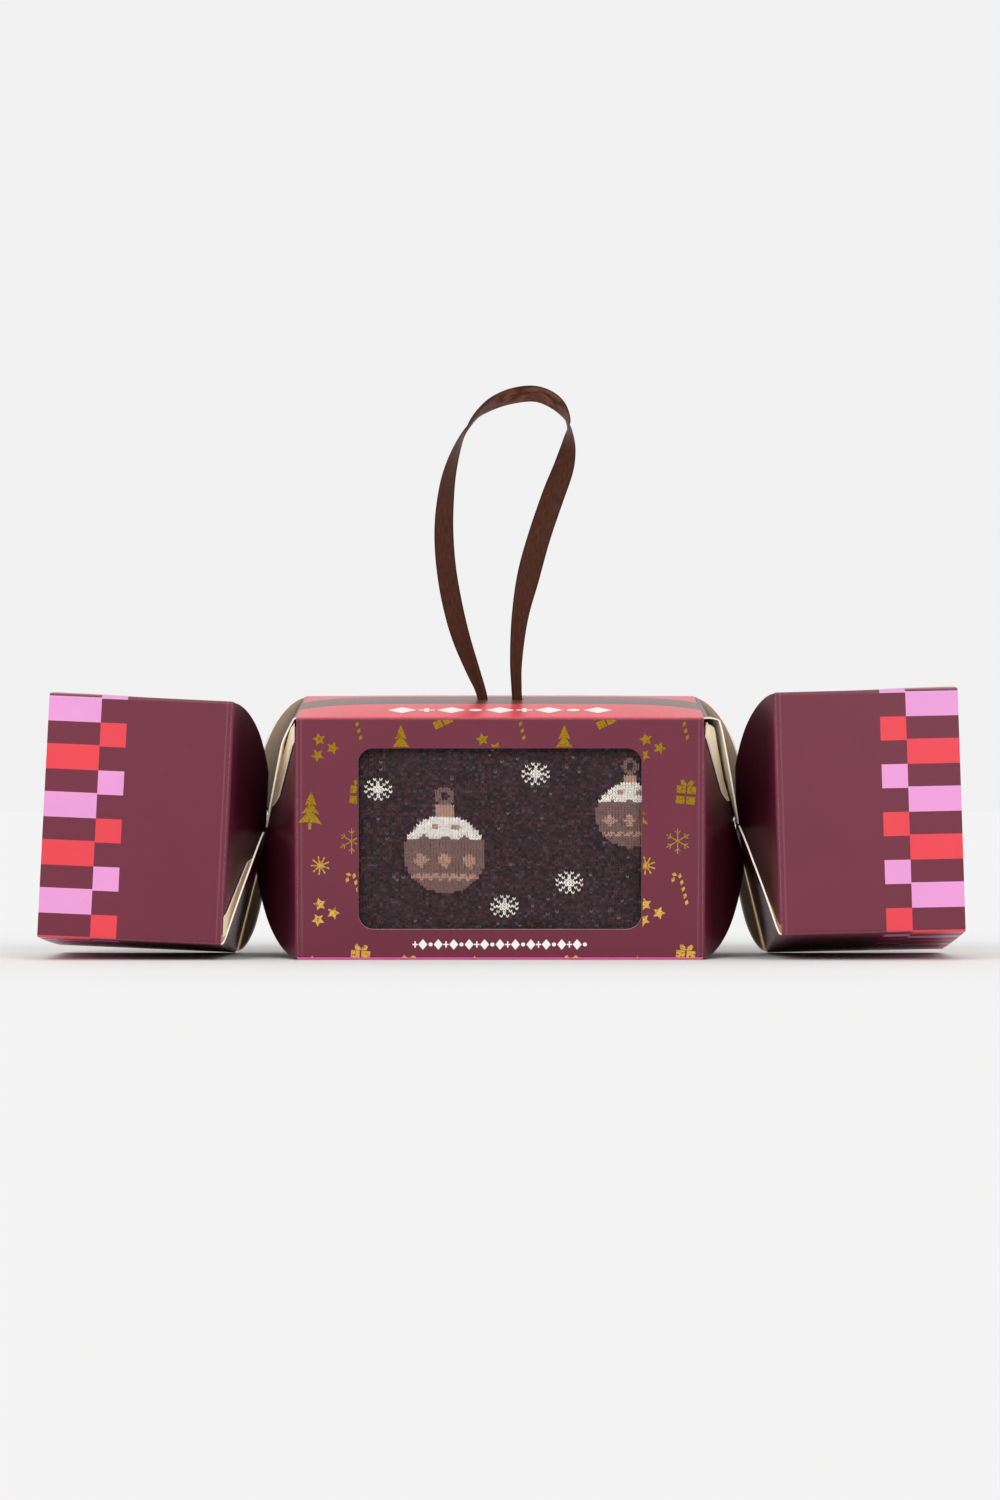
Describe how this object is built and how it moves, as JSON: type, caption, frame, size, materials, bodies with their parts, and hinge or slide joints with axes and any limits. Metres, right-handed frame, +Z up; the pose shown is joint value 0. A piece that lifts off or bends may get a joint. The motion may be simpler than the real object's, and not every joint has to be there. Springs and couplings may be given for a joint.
{
  "type": "cracker-shaped gift box",
  "caption": "Cracker-shaped folding-board gift box with twisted necks, open square end caps, a windowed body holding folded knitted socks, and a satin ribbon hanging loop.",
  "frame": {"origin": "bottom centre of the carton's box, on the surface it lies on, below the middle of the body", "axes": "+X along the cracker, from the left cap to the right cap; the window faces -Y; +Z up, with the ribbon loop on top"},
  "size_m": [0.285, 0.083, 0.1805],
  "materials": {
    "printed_board": "coated printed board, maroon, red and pink inks with gold foil, cream inside",
    "knit": "marled knit with pale motifs",
    "satin_ribbon": "brown satin"
  },
  "bodies": {
    "body": {"body_top_panel": "printed_board", "body_front_panel": "printed_board", "body_bottom_panel": "printed_board", "body_back_panel": "printed_board", "body_glue_flap": "printed_board", "left_neck_body_flap_top": "printed_board", "left_neck_body_flap_front": "printed_board", "left_neck_body_flap_bottom": "printed_board", "left_neck_body_flap_back": "printed_board", "right_neck_body_flap_top": "printed_board", "right_neck_body_flap_front": "printed_board", "right_neck_body_flap_bottom": "printed_board", "right_neck_body_flap_back": "printed_board", "front_sock": "knit", "back_sock": "knit", "ribbon_knot": "satin_ribbon", "ribbon_loop": "satin_ribbon"},
    "left_cap": {"left_cap_top_panel": "printed_board", "left_cap_front_panel": "printed_board", "left_cap_bottom_panel": "printed_board", "left_cap_back_panel": "printed_board", "left_cap_glue_flap": "printed_board", "left_neck_cap_flap_top": "printed_board", "left_neck_cap_flap_front": "printed_board", "left_neck_cap_flap_bottom": "printed_board", "left_neck_cap_flap_back": "printed_board"},
    "right_cap": {"right_cap_top_panel": "printed_board", "right_cap_front_panel": "printed_board", "right_cap_bottom_panel": "printed_board", "right_cap_back_panel": "printed_board", "right_cap_glue_flap": "printed_board", "right_neck_cap_flap_top": "printed_board", "right_neck_cap_flap_front": "printed_board", "right_neck_cap_flap_bottom": "printed_board", "right_neck_cap_flap_back": "printed_board"}
  },
  "joints": [
    {"name": "left_neck_twist", "type": "hinge", "parent": "body", "child": "left_cap", "pos_m": [-0.0736, 0, 0.0405], "axis": [1, 0, 0], "range_deg": [-10, 10], "stiffness_Nm_per_rad": 1, "deforming": ["left_neck_cap_flap_top", "left_neck_cap_flap_front", "left_neck_cap_flap_bottom", "left_neck_cap_flap_back"]},
    {"name": "right_neck_twist", "type": "hinge", "parent": "body", "child": "right_cap", "pos_m": [0.0737, 0, 0.0405], "axis": [1, 0, 0], "range_deg": [-10, 10], "stiffness_Nm_per_rad": 1, "deforming": ["right_neck_cap_flap_top", "right_neck_cap_flap_front", "right_neck_cap_flap_bottom", "right_neck_cap_flap_back"]}
  ]
}
